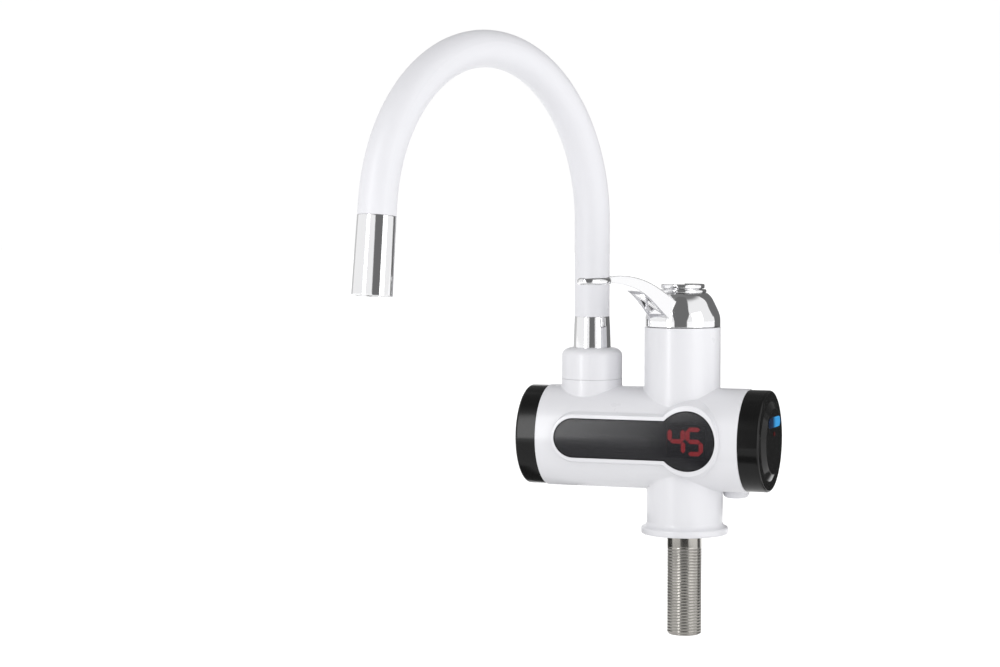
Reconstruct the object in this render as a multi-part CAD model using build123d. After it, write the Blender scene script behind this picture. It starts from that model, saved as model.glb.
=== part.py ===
"""Electric instant water heater tap for a kitchen sink.

Frame: millimetres, +Z up. The origin is the centre of the base flange's underside, on the inlet
pipe's axis. +X runs along the heater body to the right, and the display faces -Y.
The lever and the swivel spout stand at the angles they have in use, partly turned to the left.
"""
from build123d import *
import os
from math import cos, hypot, radians, sin

os.makedirs("parts", exist_ok=True)

# Heater housing
AXIS_Z = 57.6
BODY_R = 31.2
WALL = 2.6
BODY_LEFT = -86.0
BODY_RIGHT = 40.3
UPPER_NECK_R = 23.1
UPPER_NECK_L = 67.8
UPPER_NECK_TOP = AXIS_Z + UPPER_NECK_L
VALVE_X = -1.8
LOWER_NECK_R = 23.1
FLANGE_W = 3.3
FLANGE_R = LOWER_NECK_R + FLANGE_W
FLANGE_H = 4.4
FLANGE_ROUND = 1.2
FLANGE_BLEND = 3.2
SADDLE_ROUND = 0.8
BODY_EDGE_ROUND = 0.6

# Display window, on the front of the body
WINDOW_X = 9.5
WINDOW_UP = 1.1
WINDOW_Z = AXIS_Z + WINDOW_UP
WINDOW_R = 18.0
STRIP_HALF = 11.9
STRIP_INSET = 13.0
STRIP_LEFT = BODY_LEFT + STRIP_INSET
LENS_PROUD = 1.8
LENS_CURVE_R = 46.0
LENS_T = 2.0
LENS_BEVEL = 0.45
LENS_GAP = 0.1
RIM_W = 1.6
RIM_PROUD = 0.25
RIM_DRAFT = 18.0
RIM_DEPTH = 14.0

# End caps
CAP_STEP = 0.6
CAP_R = BODY_R - CAP_STEP
CAP_L = 12.9
CAP_WALL = 2.4
CAP_EDGE_ROUND = 1.4
CAP_SPIGOT_L = 5.0
CAP_SPIGOT_GAP = 0.15
COVER_MARGIN = 6.6
COVER_BASE_R = CAP_R - COVER_MARGIN
COVER_BEVEL = 4.3
COVER_FACE_R = COVER_BASE_R - COVER_BEVEL
COVER_PROUD = 2.2
COVER_SEAT = 1.2
COVER_GAP = 0.1
SCREW_MARGIN = 4.0
SCREW_CIRCLE_R = COVER_BASE_R - SCREW_MARGIN
SCREW_BOSS_R = 3.2
SCREW_BOSS_L = 6.0
SCREW_WEB_T = 2.0
SCREW_R = 1.4
SCREW_GRIP = 4.1
SCREW_HEAD_R = 2.8
SCREW_HEAD_H = 1.8
SCREW_GAP = 0.1
SCREW_ANGLES = (90, 210, 330)

# Status lamps in the right cover
BLUE_LAMP_L = 27.0
BLUE_LAMP_H = 6.0
BLUE_LAMP_UP = 11.6
RED_LAMP_R = 1.4
RED_LAMP_UP = 4.6
LAMP_PROUD = 0.3
LAMP_DEPTH = 1.6
LAMP_GAP = 0.1

# Inlet pipe, a G1/2 parallel thread
PIPE_R = 10.4775
PIPE_WALL = 3.0775
PIPE_BORE_R = PIPE_R - PIPE_WALL
PIPE_DROP = 61.5
PIPE_BOTTOM = -PIPE_DROP
PIPE_STEP = 0.2775
PIPE_UPPER_R = PIPE_R - PIPE_STEP
PIPE_CHAMFER = 1.0
PIPE_HOLE_GAP = 0.15
PIPE_FIT = 0.05
BASE_SEAL_R = 21.6
BASE_SEAL_W = 2.4
BASE_SEAL_H = 1.8
BASE_SEAL_GAP = 0.1

# Cord gland, below the body, clear of the lower neck and turned towards the rear
GLAND_R = 8.0
GLAND_NECK_GAP = 0.4
GLAND_BEARING = 22.8
GLAND_REACH = LOWER_NECK_R + GLAND_NECK_GAP + GLAND_R
GLAND_X = GLAND_REACH * cos(radians(GLAND_BEARING))
GLAND_Y = GLAND_REACH * sin(radians(GLAND_BEARING))
GLAND_DROP = 5.0
GLAND_BOTTOM = AXIS_Z - BODY_R - GLAND_DROP
GLAND_ROUND = 3.0
BUSHING_R = 4.6
BUSHING_BORE_R = 3.4
BUSHING_FIT = 0.05
BUSHING_INSET = 0.4
BUSHING_RISE = 10.8
BUSHING_TOP = AXIS_Z - BODY_R + BUSHING_RISE
BUSHING_COLLAR_W = 1.2
BUSHING_COLLAR_H = 1.5

# Spout seat, nut and swivel ferrule
SPOUT_INSET = 26.5
SPOUT_X = BODY_LEFT + SPOUT_INSET
BOSS_R = 18.6
BOSS_RISE = 4.0
BOSS_TOP = AXIS_Z + BODY_R + BOSS_RISE
THREAD_STEP = 3.6
BOSS_THREAD_R = BOSS_R - THREAD_STEP
BOSS_THREAD_L = 8.0
BOSS_THREAD_T = 2.5
NUT_GAP = 0.1
NUT_H = 19.4
NUT_TOP = BOSS_TOP + NUT_H
NUT_LAND = 0.25
NUT_SHOULDER_H = 5.0
SEAT_R = BOSS_THREAD_R - BOSS_THREAD_T - NUT_GAP
SEAT_L = 25.0
SEAT_TOP = BOSS_TOP + BOSS_THREAD_L
SEAT_BOTTOM = SEAT_TOP - SEAT_L
SEAT_T = 3.35
TAIL_FIT = 0.05
TAIL_R = SEAT_R - SEAT_T - TAIL_FIT
TAIL_L = 15.1
TAIL_END_GAP = 2.0
COLLAR_STEP = 1.0
COLLAR_R = BOSS_THREAD_R - COLLAR_STEP
COLLAR_H = 3.0
COLLAR_BOTTOM = SEAT_TOP + NUT_GAP
TAIL_BOTTOM = COLLAR_BOTTOM - TAIL_L
FERRULE_L = 18.9
FERRULE_TOP = NUT_TOP + FERRULE_L
FERRULE_LOW_R = 11.55
FERRULE_MID_R = 11.25
FERRULE_TOP_R = 10.8
FERRULE_NUT_GAP = 0.3
WATERWAY_R = 4.5
RING_SECTION = 1.8
RING_GAP = 0.1
RING_PLACES = (4.0, 9.0)
SPOUT_TURN = 72.2

# Hose and nozzle
HOSE_STEP = 0.05
HOSE_R = FERRULE_TOP_R - HOSE_STEP
CORE_R = 6.1
CORE_WALL = 1.5
CORE_BORE_R = CORE_R - CORE_WALL
CORE_SEAT = 8.0
CORE_GAP = 0.1
HOSE_BORE_R = CORE_R + CORE_GAP
HOSE_RISE = 58.4
HOSE_STRAIGHT_TOP = FERRULE_TOP + HOSE_RISE
HOSE_BEND_R = 99.0
NOZZLE_LEAN = 5.3
HOSE_STUB = 6.6
NOZZLE_L = 44.0
NOZZLE_STEP = 0.1
NOZZLE_TOP_R = HOSE_R + NOZZLE_STEP
NOZZLE_FLARE = 0.65
NOZZLE_MOUTH_R = NOZZLE_TOP_R + NOZZLE_FLARE
NOZZLE_WALL = 1.6
NOZZLE_MOUTH_BORE_R = NOZZLE_MOUTH_R - NOZZLE_WALL
NOZZLE_MOUTH_DEPTH = 15.0
NOZZLE_ROUND = 0.4
AERATOR_GAP = 0.1
AERATOR_RIM = 1.2
AERATOR_FACE_T = 1.6
AERATOR_SETBACK = 0.8
AERATOR_HOLE_R = 0.9
AERATOR_PITCH = 2.7
WASHER_T = 1.6

# Lever, whose arm is given by distance from the axis and height above the hub's underside
LEVER_TURN = 67.0
HUB_RUN = 0.4
HUB_BOTTOM = UPPER_NECK_TOP + HUB_RUN
HUB_STEP = 0.2
HUB_R = UPPER_NECK_R - HUB_STEP
HUB_H = 20.2
HUB_TOP = HUB_BOTTOM + HUB_H
HUB_TOP_IN = 8.1
HUB_TOP_R = HUB_R - HUB_TOP_IN
HUB_SKIRT_H = 3.5
HUB_MID_H = 12.7
HUB_MID_IN = 2.8
HUB_WALL = 2.0
HUB_WEB_T = 2.4
HUB_POST_R = 8.0
LEVER_GAP = 0.1
ARM_ROOT_HALF_W = 9.2
ARM_TAIL = 4.0
ARM_TOP = [(4.6, 7), (15.3, 14.8), (28.3, 22.8), (41.6, 28.4), (50.9, 30.6), (63.3, 31.7), (79.6, 30.0)]
ARM_BOTTOM = [(17.6, 2.5), (24.6, 7.6), (33.7, 15.0), (42.6, 20.9), (51.4, 24.4), (60.8, 26.6), (79.6, 27.6)]
ARM_PLAN = [(1, 9.4), (12.6, 9.0), (24.6, 7.3), (37.6, 6.1), (52.6, 5.2), (67.6, 4.7), (81, 4.6)]
ARM_SKIN = 2.6
ARM_SIDE_WALL = 1.7
POCKET_DROP = 6.0
POCKET_FROM = 25.5
POCKET_TO = 52.0
PAD_S = 81.2
PAD_HALF_L = 11.5
PAD_HALF_W = 8.5
PAD_RISE = 30.7
PAD_T = 4.0
PAD_ROUND = 1.8
RIB_S = 33.5
RIB_L = 22.0
RIB_T = 1.2
RIB_TURN = 34.0
STEM_SQUARE = 8.0
STEM_INSET = 6.2
STEM_TOP = HUB_TOP - STEM_INSET
BUTTON_STEP = 0.4
BUTTON_LOW_R = HUB_TOP_R - BUTTON_STEP
BUTTON_LOW_H = 2.2
BUTTON_TOP_IN = 1.1
BUTTON_TOP_R = BUTTON_LOW_R - BUTTON_TOP_IN
BUTTON_TOP_H = 2.7
BUTTON_NECK_H = 0.5
BUTTON_SEAT = 0.1
BUTTON_ROUND = 0.7
BUTTON_SPIGOT_R = 9.0
BUTTON_SPIGOT_T = 2.0
LEVER_SCREW_R = 2.0
LEVER_SCREW_L = 12.0
LEVER_SCREW_HEAD_R = 3.6
LEVER_SCREW_HEAD_H = 2.4

# Ceramic cartridge and valve manifold
CUP_GAP = 0.1
CUP_CLEAR = 0.4
CUP_R = UPPER_NECK_R - WALL - CUP_CLEAR
CUP_INSET = 7.6
CUP_TOP = UPPER_NECK_TOP - CUP_INSET
CUP_WALL = 2.3
CUP_FLOOR = 5.0
CARTRIDGE_R = CUP_R - CUP_WALL - CUP_GAP
CARTRIDGE_L = 18.6
NUT_RING_H = 5.4
NUT_RING_INSET = 0.5
SPANNER_SLOT_W = 4.0
CARTRIDGE_SHOULDER = CUP_TOP - NUT_RING_INSET - NUT_RING_H - CUP_GAP
CARTRIDGE_BOTTOM = CARTRIDGE_SHOULDER - CARTRIDGE_L
CARTRIDGE_NECK_L = 5.0
CARTRIDGE_TOP = CARTRIDGE_SHOULDER + CARTRIDGE_NECK_L
CARTRIDGE_NECK_R = 11.0
STEM_R = 6.0
STEM_FIT = 0.06
CARTRIDGE_WALL = 3.6
DISC_SIDE_GAP = 0.3
DISC_R = CARTRIDGE_R - CARTRIDGE_WALL - DISC_SIDE_GAP
DISC_T = 3.2
DISC_GAP = 0.05
DRIVER_T = 3.0
DRIVER_STEP = 1.4
CUP_SEAL_IN = 3.1
CUP_SEAL_R = CARTRIDGE_R - CUP_SEAL_IN
CUP_SEAL_W = 1.8
CUP_SEAL_H = 1.6
RISER_R = 8.0
RISER_BORE_R = 3.6
SOCKET_WALL = 3.8
SOCKET_R = PIPE_UPPER_R + SOCKET_WALL
SOCKET_BOTTOM = 11.8
SOCKET_L = 27.0
SOCKET_TOP = SOCKET_BOTTOM + SOCKET_L
SOCKET_ROOF = 7.0
PIPE_TOP = SOCKET_TOP - SOCKET_ROOF
RETURN_SIDE = 9.8
RETURN_X = VALVE_X - RETURN_SIDE
RETURN_R = 5.2
RETURN_BORE_R = 3.0
RETURN_IN_TANK = 2.0
PORT_W = 4.6
PORT_L = 7.0
PASSAGE_DEPTH = 1.8

# Heating tank and element
TANK_Y = 8.0
TANK_CLEAR = 3.6
TANK_R = BODY_R - WALL - TANK_Y - TANK_CLEAR
TANK_WALL = 1.0
TANK_INSET = 16.0
TANK_LEFT = BODY_LEFT + TANK_INSET
TANK_RIGHT = -20.0
TANK_ROUND = 3.0
TANK_GAP = 0.1
OUTLET_R = 6.0
ELEMENT_R = 2.6
ELEMENT_GAP_Y = 11.0
ELEMENT_RISE = 5.0
ELEMENT_END_GAP = 12.0
ELEMENT_MARGIN = 1.4
ELEMENT_FLANGE_R = TANK_R - TANK_ROUND - ELEMENT_MARGIN
ELEMENT_FLANGE_T = 3.0
TERMINAL_R = 1.5
TERMINAL_L = 5.0
CUTOUT_FROM_END = 14.0
CUTOUT_X = TANK_RIGHT - CUTOUT_FROM_END
CUTOUT_R = 6.5
CUTOUT_H = 5.0
CUTOUT_SADDLE = 1.3
BLADE_W = 3.2
BLADE_L = 6.0
BLADE_T = 0.8

# Control board and display
BOARD_INSET = 8.6
BOARD_Y = WALL - BODY_R + BOARD_INSET
BOARD_T = 1.6
BOARD_END_GAP = 22.0
BOARD_LEFT = BODY_LEFT + BOARD_END_GAP
BOARD_PAST_WINDOW = 15.8
BOARD_RIGHT = WINDOW_X + BOARD_PAST_WINDOW
BOARD_HALF_H = 14.5
MODULE_W = 24.0
MODULE_H = 20.0
MODULE_GAP = 1.4
MODULE_FRONT = LENS_T + MODULE_GAP - BODY_R - LENS_PROUD
DIGIT_H = 17.0
DIGIT_W = 10.6
DIGIT_PITCH = 10.9
DIGIT_SHIFT = -0.8
DIGIT_STROKE = 2.6
DIGIT_GAP = 0.3
DIGIT_T = 0.3
DIGIT_LEAN = -2.0
POST_R = 2.2
POST_INSET = 6.0
POST_X = BOARD_LEFT + POST_INSET

# Parts on the board's rear face: distance from its left end, height above the axis, width, depth, height
BOARD_PARTS = ((54, 6, 12, 6, 9), (40, -6, 9, 5, 9), (8, -4, 8, 7, 14), (34, 8, 5, 3, 5))
TRIAC_INSET = 20.0
TRIAC_SIZE = (10.0, 4.4, 9.0)
TRIAC_TAB = (10.0, 1.3, 6.0)
TRIAC_HOLE_R = 1.8
TRIAC_DROP = 3.0

# Pressure switch
SWITCH_REACH = 18.0
SWITCH_R = 7.0
SWITCH_X = SWITCH_REACH + SWITCH_R
SWITCH_DROP = 12.8
SWITCH_BOTTOM = AXIS_Z - SWITCH_DROP
SWITCH_L = 14.0
SWITCH_TOP = SWITCH_BOTTOM + SWITCH_L
SWITCH_FLOOR = 3.0
SWITCH_LID_T = 2.0
SWITCH_PORT_Z = SWITCH_BOTTOM + SWITCH_FLOOR / 2
PORT_R = 3.0
PORT_BORE_R = 1.0
PLUNGER_R = 2.4
PLUNGER_HEAD_H = 2.0
PLUNGER_PROUD = 2.0
PLUNGER_TRAVEL = 1.5
PLUNGER_FIT = 0.06
PLUNGER_GAP = 0.3
SWITCH_WALL = 1.7
PLUNGER_HEAD_R = SWITCH_R - SWITCH_WALL - PLUNGER_GAP
SPRING_WIRE_R = 0.45
SPRING_IN = 1.1
SPRING_R = PLUNGER_HEAD_R - SPRING_IN
SPRING_TURNS = 4
SPRING_GAP = 0.05
MICRO_SWITCH_H = 10.0
MICRO_SWITCH_W = 12.0
MICRO_SWITCH_D = 6.0
BRACKET_W = 8.0
BRACKET_T = 2.0


def along_x(x_from, x_to, radius, y=0.0, z=AXIS_Z):
    """Solid bar of the given radius along X between two stations."""
    bar = Cylinder(radius, x_to - x_from)
    return Pos((x_from + x_to) / 2, y, z) * Rot(0, 90, 0) * bar


def upright(z_from, z_to, radius, x=0.0, y=0.0):
    """Solid bar of the given radius along Z between two heights."""
    return Pos(x, y, (z_from + z_to) / 2) * Cylinder(radius, z_to - z_from)


def turned(points, x=0.0, y=0.0):
    """Solid turned about a vertical axis from (radius, height) corners."""
    outline = make_face(Polyline(*points, close=True))
    return Pos(x, y, 0) * revolve(Plane.XZ * outline, Axis.Z)


def ring(z_from, z_to, outer, inner, x=0.0, y=0.0):
    """Upright ring."""
    return upright(z_from, z_to, outer, x, y) - upright(z_from, z_to, inner, x, y)


def facing(angle):
    """Level unit vector that starts at -X and turns towards the front, -Y."""
    return Vector(-cos(radians(angle)), -sin(radians(angle)), 0)


def side_plane(x, angle):
    """Plane through an upright axis at x: local x runs outward at the angle, local y is up."""
    out = facing(angle)
    return Plane(origin=(x, 0, 0), x_dir=out, z_dir=out.cross(Vector(0, 0, 1)))


def keyhole(extra):
    """Display outline grown by extra: a round window with a round-ended strip to its left."""
    strip_end = STRIP_LEFT + STRIP_HALF
    length = WINDOW_X - strip_end
    strip = Pos((WINDOW_X + strip_end) / 2, WINDOW_Z) * Rectangle(length, 2 * (STRIP_HALF + extra))
    end = Pos(strip_end, WINDOW_Z) * Circle(STRIP_HALF + extra)
    window = Pos(WINDOW_X, WINDOW_Z) * Circle(WINDOW_R + extra)
    return Plane.XZ * (strip + end + window)


def lens_face(depth):
    """Long bar whose front is the lens face, set back by depth."""
    radius = LENS_CURVE_R - depth
    centre_y = LENS_CURVE_R - BODY_R - LENS_PROUD
    return along_x(BODY_LEFT, BODY_RIGHT, radius, centre_y, WINDOW_Z)


def flanged_neck():
    """Lower neck with its base flange, turned."""
    blend_z = FLANGE_H + FLANGE_BLEND
    flat_r = FLANGE_R - FLANGE_ROUND
    rim_z = FLANGE_H - FLANGE_ROUND
    with BuildSketch(Plane.XZ) as section:
        with BuildLine():
            Line((0, 0), (flat_r, 0))
            RadiusArc((flat_r, 0), (FLANGE_R, FLANGE_ROUND), -FLANGE_ROUND)
            Line((FLANGE_R, FLANGE_ROUND), (FLANGE_R, rim_z))
            RadiusArc((FLANGE_R, rim_z), (flat_r, FLANGE_H), -FLANGE_ROUND)
            RadiusArc((flat_r, FLANGE_H), (LOWER_NECK_R, blend_z), FLANGE_BLEND)
            Line((LOWER_NECK_R, blend_z), (LOWER_NECK_R, AXIS_Z))
            Line((LOWER_NECK_R, AXIS_Z), (0, AXIS_Z))
            Line((0, AXIS_Z), (0, 0))
        make_face()
    return revolve(section.sketch, Axis.Z)


def housing_form():
    """Outer form of the white moulding: body tube, necks, spout boss, gland boss and display bezel."""
    body = along_x(BODY_LEFT, BODY_RIGHT, BODY_R)
    body = fillet(body.edges().filter_by(GeomType.CIRCLE), BODY_EDGE_ROUND)
    necks = upright(AXIS_Z, UPPER_NECK_TOP, UPPER_NECK_R, VALVE_X) + flanged_neck()
    boss = upright(AXIS_Z, BOSS_TOP, BOSS_R, SPOUT_X)
    form = body + necks + boss
    saddles = [e for e in form.edges() if e.geom_type not in (GeomType.CIRCLE, GeomType.LINE)]
    form = fillet(saddles, SADDLE_ROUND)
    gland = upright(GLAND_BOTTOM, AXIS_Z - BODY_R / 2, GLAND_R, GLAND_X, GLAND_Y)
    form += fillet(gland.edges().sort_by(Axis.Z)[0], GLAND_ROUND)
    form += upright(BOSS_TOP, SEAT_TOP, BOSS_THREAD_R, SPOUT_X)
    front = BODY_R + LENS_PROUD + RIM_PROUD
    bezel = extrude(Pos(0, -front, 0) * keyhole(RIM_W), -RIM_DEPTH, taper=-RIM_DRAFT)
    return form + (bezel & lens_face(-RIM_PROUD))


def cap_bosses():
    """Screw bosses for both end caps, each joined to the tube's wall by a web."""
    starts = (BODY_LEFT + CAP_SPIGOT_L, BODY_RIGHT - CAP_SPIGOT_L - SCREW_BOSS_L)
    reach = BODY_R - WALL / 2 - SCREW_CIRCLE_R
    bosses = Part()
    for start in starts:
        for angle in SCREW_ANGLES:
            turn = Pos(0, 0, AXIS_Z) * Rot(angle, 0, 0)
            post = along_x(start, start + SCREW_BOSS_L, SCREW_BOSS_R, SCREW_CIRCLE_R, 0)
            middle = Pos(start + SCREW_BOSS_L / 2, SCREW_CIRCLE_R + reach / 2, 0)
            web = middle * Box(SCREW_BOSS_L, reach, SCREW_WEB_T)
            hole = along_x(start - 1, start + SCREW_BOSS_L + 1, SCREW_R + SCREW_GAP, SCREW_CIRCLE_R, 0)
            bosses += turn * (post + web - hole)
    return bosses


def main_housing():
    """White moulding, hollow, with its window pocket, bores, screw bosses and board posts."""
    inner_r = BODY_R - WALL
    hollow = along_x(BODY_LEFT - 1, BODY_RIGHT + 1, inner_r)
    hollow += upright(AXIS_Z, UPPER_NECK_TOP + 1, UPPER_NECK_R - WALL, VALVE_X)
    hollow += upright(FLANGE_H, AXIS_Z, LOWER_NECK_R - WALL)
    hollow += upright(AXIS_Z, SEAT_TOP + 1, SEAT_R + NUT_GAP, SPOUT_X)
    hollow += upright(-1, FLANGE_H + 1, PIPE_R + PIPE_HOLE_GAP)
    hollow += upright(GLAND_BOTTOM - 1, AXIS_Z - BODY_R / 2, BUSHING_R, GLAND_X, GLAND_Y)
    hollow += ring(-1, BASE_SEAL_H, BASE_SEAL_R + BASE_SEAL_W / 2, BASE_SEAL_R - BASE_SEAL_W / 2)
    pocket = extrude(Pos(0, -BODY_R / 2, 0) * keyhole(LENS_GAP), BODY_R) - lens_face(LENS_T + LENS_GAP)
    window = Box(MODULE_W + 2 * LENS_GAP, BODY_R, MODULE_H + 2 * LENS_GAP)
    housing = housing_form() - hollow - pocket - Pos(WINDOW_X, -BODY_R, WINDOW_Z) * window
    housing += cap_bosses()
    post_front = WALL - BODY_R
    post_back = BOARD_Y - BOARD_T / 2
    for post_z in (AXIS_Z - BOARD_HALF_H / 2, AXIS_Z + BOARD_HALF_H / 2):
        post = Rot(90, 0, 0) * Cylinder(POST_R, post_back - post_front)
        housing += Pos(POST_X, (post_front + post_back) / 2, post_z) * post
    return housing


def end_cap(side):
    """Black cap for the left (-1) or right (+1) end, with its spigot, screw posts and cover seat."""
    seam = BODY_RIGHT if side > 0 else BODY_LEFT
    plate_in = CAP_L - COVER_SEAT - CAP_WALL
    head_seat = CAP_L - COVER_SEAT - SCREW_HEAD_H - SCREW_GAP
    shell = along_x(0, CAP_L, CAP_R, z=0)
    shell = fillet(shell.edges().sort_by(Axis.X)[-1], CAP_EDGE_ROUND)
    spigot_r = BODY_R - WALL - CAP_SPIGOT_GAP
    shell += along_x(-CAP_SPIGOT_L + CAP_SPIGOT_GAP, 0, spigot_r, z=0)
    shell -= along_x(-CAP_SPIGOT_L - 1, plate_in, spigot_r - CAP_WALL, z=0)
    shell -= along_x(CAP_L - COVER_SEAT, CAP_L + 1, COVER_BASE_R + COVER_GAP, z=0)
    for angle in SCREW_ANGLES:
        turn = Rot(angle, 0, 0)
        shell += turn * along_x(-CAP_SPIGOT_L + CAP_SPIGOT_GAP, plate_in, SCREW_BOSS_R, SCREW_CIRCLE_R, 0)
        shell -= turn * along_x(-CAP_SPIGOT_L - 1, CAP_L, SCREW_R + SCREW_GAP, SCREW_CIRCLE_R, 0)
        shell -= turn * along_x(head_seat, CAP_L, SCREW_HEAD_R + SCREW_GAP, SCREW_CIRCLE_R, 0)
    return place_end(shell, side, seam)


def place_end(shape, side, seam):
    """Put a shape drawn with its seam at x = 0, pointing along +X, on the left or right end."""
    facing_out = shape if side > 0 else shape.mirror(Plane.YZ)
    return Pos(seam, 0, AXIS_Z) * facing_out


def cap_cover(side):
    """Raised round cover over the cap screws, with lamp windows in the right one."""
    seam = BODY_RIGHT if side > 0 else BODY_LEFT
    face = CAP_L + COVER_PROUD
    seat = CAP_L - COVER_SEAT + COVER_GAP
    corners = ((0, seat), (COVER_BASE_R, seat), (COVER_BASE_R, CAP_L), (COVER_FACE_R, face), (0, face))
    cover = Rot(0, 90, 0) * turned(corners)
    if side > 0:
        cover -= lamp_bar(LAMP_GAP, LAMP_DEPTH + LAMP_GAP, 1)
        cover -= lamp_dot(LAMP_GAP, LAMP_DEPTH + LAMP_GAP, 1)
    return place_end(cover, side, seam)


def lamp_bar(extra, depth, proud):
    """Round-ended bar set into the cover's face, grown by extra."""
    outline = SlotOverall(BLUE_LAMP_L + 2 * extra, BLUE_LAMP_H + 2 * extra)
    face = CAP_L + COVER_PROUD
    plane = Plane(origin=(face - depth, 0, BLUE_LAMP_UP), x_dir=(0, 1, 0), z_dir=(1, 0, 0))
    return extrude(plane * outline, depth + proud)


def lamp_dot(extra, depth, proud):
    """Small round lamp set into the cover's face, grown by extra."""
    face = CAP_L + COVER_PROUD
    return along_x(face - depth, face + proud, RED_LAMP_R + extra, 0, RED_LAMP_UP)


def lamps():
    """Blue and red lamp lenses of the right cover, standing a little proud of it."""
    blue = place_end(lamp_bar(0, LAMP_DEPTH, LAMP_PROUD), 1, BODY_RIGHT)
    red = place_end(lamp_dot(0, LAMP_DEPTH, LAMP_PROUD), 1, BODY_RIGHT)
    return blue, red


def cap_screws(side):
    """Three pan-head screws that hold one end cap."""
    seam = BODY_RIGHT if side > 0 else BODY_LEFT
    head_seat = CAP_L - COVER_SEAT - SCREW_HEAD_H
    tip = -CAP_SPIGOT_L - SCREW_GRIP
    screws = []
    for angle in SCREW_ANGLES:
        head = along_x(head_seat, head_seat + SCREW_HEAD_H - SCREW_GAP, SCREW_HEAD_R, SCREW_CIRCLE_R, 0)
        shank = along_x(tip, head_seat, SCREW_R, SCREW_CIRCLE_R, 0)
        screws.append(place_end(Rot(angle, 0, 0) * (head + shank), side, seam))
    return Compound(children=screws)


def display_lens():
    """Smoked keyhole lens, gently curved, with a bevelled edge."""
    block = extrude(Pos(0, -BODY_R / 2, 0) * keyhole(0), BODY_R)
    lens = (block & lens_face(0)) - lens_face(LENS_T)
    return chamfer(lens.faces().sort_by(Axis.Y)[0].edges(), LENS_BEVEL)


def segment(x, z, length, upright_bar):
    """One pointed bar of a seven-segment figure, on the XZ plane."""
    half = length / 2
    tip = DIGIT_STROKE / 2
    upper = ((-half, 0), (-half + tip, tip), (half - tip, tip))
    lower = ((half, 0), (half - tip, -tip), (-half + tip, -tip))
    bar = make_face(Polyline(*upper, *lower, close=True))
    return Pos(x, z) * Rot(0, 0, 90 if upright_bar else 0) * bar


def digit(lit, x):
    """Seven-segment figure centred at x, with the named segments lit."""
    half_w = (DIGIT_W - DIGIT_STROKE) / 2
    half_h = (DIGIT_H - DIGIT_STROKE) / 2
    across = 2 * half_w - DIGIT_GAP
    down = half_h - DIGIT_GAP
    places = {
        "top": (0, half_h, across, False),
        "middle": (0, 0, across, False),
        "bottom": (0, -half_h, across, False),
        "upper_left": (-half_w, half_h / 2, down, True),
        "upper_right": (half_w, half_h / 2, down, True),
        "lower_left": (-half_w, -half_h / 2, down, True),
        "lower_right": (half_w, -half_h / 2, down, True),
    }
    lean = sin(radians(DIGIT_LEAN))
    return [segment(x + places[n][0] + lean * places[n][1], *places[n][1:]) for n in lit]


def digit_segments():
    """Lit segments of a two-figure temperature reading, on the display module's face."""
    four = ("upper_left", "upper_right", "middle", "lower_right")
    five = ("top", "upper_left", "middle", "lower_right", "bottom")
    figures = digit(four, -DIGIT_PITCH / 2) + digit(five, DIGIT_PITCH / 2)
    centre = (WINDOW_X + DIGIT_SHIFT, MODULE_FRONT, WINDOW_Z)
    plane = Plane(origin=centre, x_dir=(1, 0, 0), z_dir=(0, -1, 0))
    return Compound(children=[extrude(plane * bar, DIGIT_T) for bar in figures])


def display_module():
    """Block of the two-figure display, between the lens and the control board."""
    depth = BOARD_Y - BOARD_T / 2 - MODULE_FRONT
    return Pos(WINDOW_X, MODULE_FRONT + depth / 2, WINDOW_Z) * Box(MODULE_W, depth, MODULE_H)


def control_board():
    """Control board behind the display, with its parts on the rear face."""
    length = BOARD_RIGHT - BOARD_LEFT
    centre_x = (BOARD_LEFT + BOARD_RIGHT) / 2
    board = Pos(centre_x, BOARD_Y, AXIS_Z) * Box(length, BOARD_T, 2 * BOARD_HALF_H)
    rear = BOARD_Y + BOARD_T / 2
    for along, up, width, depth, height in BOARD_PARTS:
        board += Pos(BOARD_LEFT + along, rear + depth / 2, AXIS_Z + up) * Box(width, depth, height)
    return board


def power_triac():
    """Power triac, flat on the board's rear face with its tab up."""
    x = BOARD_LEFT + TRIAC_INSET
    rear = BOARD_Y + BOARD_T / 2
    body_z = AXIS_Z - TRIAC_DROP
    tab_y = rear + TRIAC_SIZE[1] - TRIAC_TAB[1] / 2
    tab_z = body_z + (TRIAC_SIZE[2] + TRIAC_TAB[2]) / 2
    triac = Pos(x, rear + TRIAC_SIZE[1] / 2, body_z) * Box(*TRIAC_SIZE)
    triac += Pos(x, tab_y, tab_z) * Box(*TRIAC_TAB)
    return triac - Pos(x, tab_y, tab_z) * Rot(90, 0, 0) * Cylinder(TRIAC_HOLE_R, 2 * TRIAC_SIZE[1])


def inlet_pipe():
    """G1/2 threaded inlet pipe, plain at thread size, with its chamfered end and upper spigot."""
    pipe = upright(PIPE_BOTTOM, 0, PIPE_R)
    pipe = chamfer(pipe.edges().sort_by(Axis.Z)[0], PIPE_CHAMFER)
    pipe += upright(0, PIPE_TOP, PIPE_UPPER_R)
    return pipe - upright(PIPE_BOTTOM - 1, PIPE_TOP + 1, PIPE_BORE_R)


def base_seal():
    """Rubber ring let into the flange's underside."""
    half = BASE_SEAL_W / 2 - BASE_SEAL_GAP
    return ring(0, BASE_SEAL_H - BASE_SEAL_GAP, BASE_SEAL_R + half, BASE_SEAL_R - half)


def cord_bushing():
    """Rubber bushing that lines the power cord's exit."""
    sleeve = upright(GLAND_BOTTOM + BUSHING_INSET, BUSHING_TOP, BUSHING_R - BUSHING_FIT, GLAND_X, GLAND_Y)
    collar_r = BUSHING_R + BUSHING_COLLAR_W
    collar = upright(BUSHING_TOP - BUSHING_COLLAR_H, BUSHING_TOP, collar_r, GLAND_X, GLAND_Y)
    return sleeve + collar - upright(0, AXIS_Z, BUSHING_BORE_R, GLAND_X, GLAND_Y)


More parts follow.
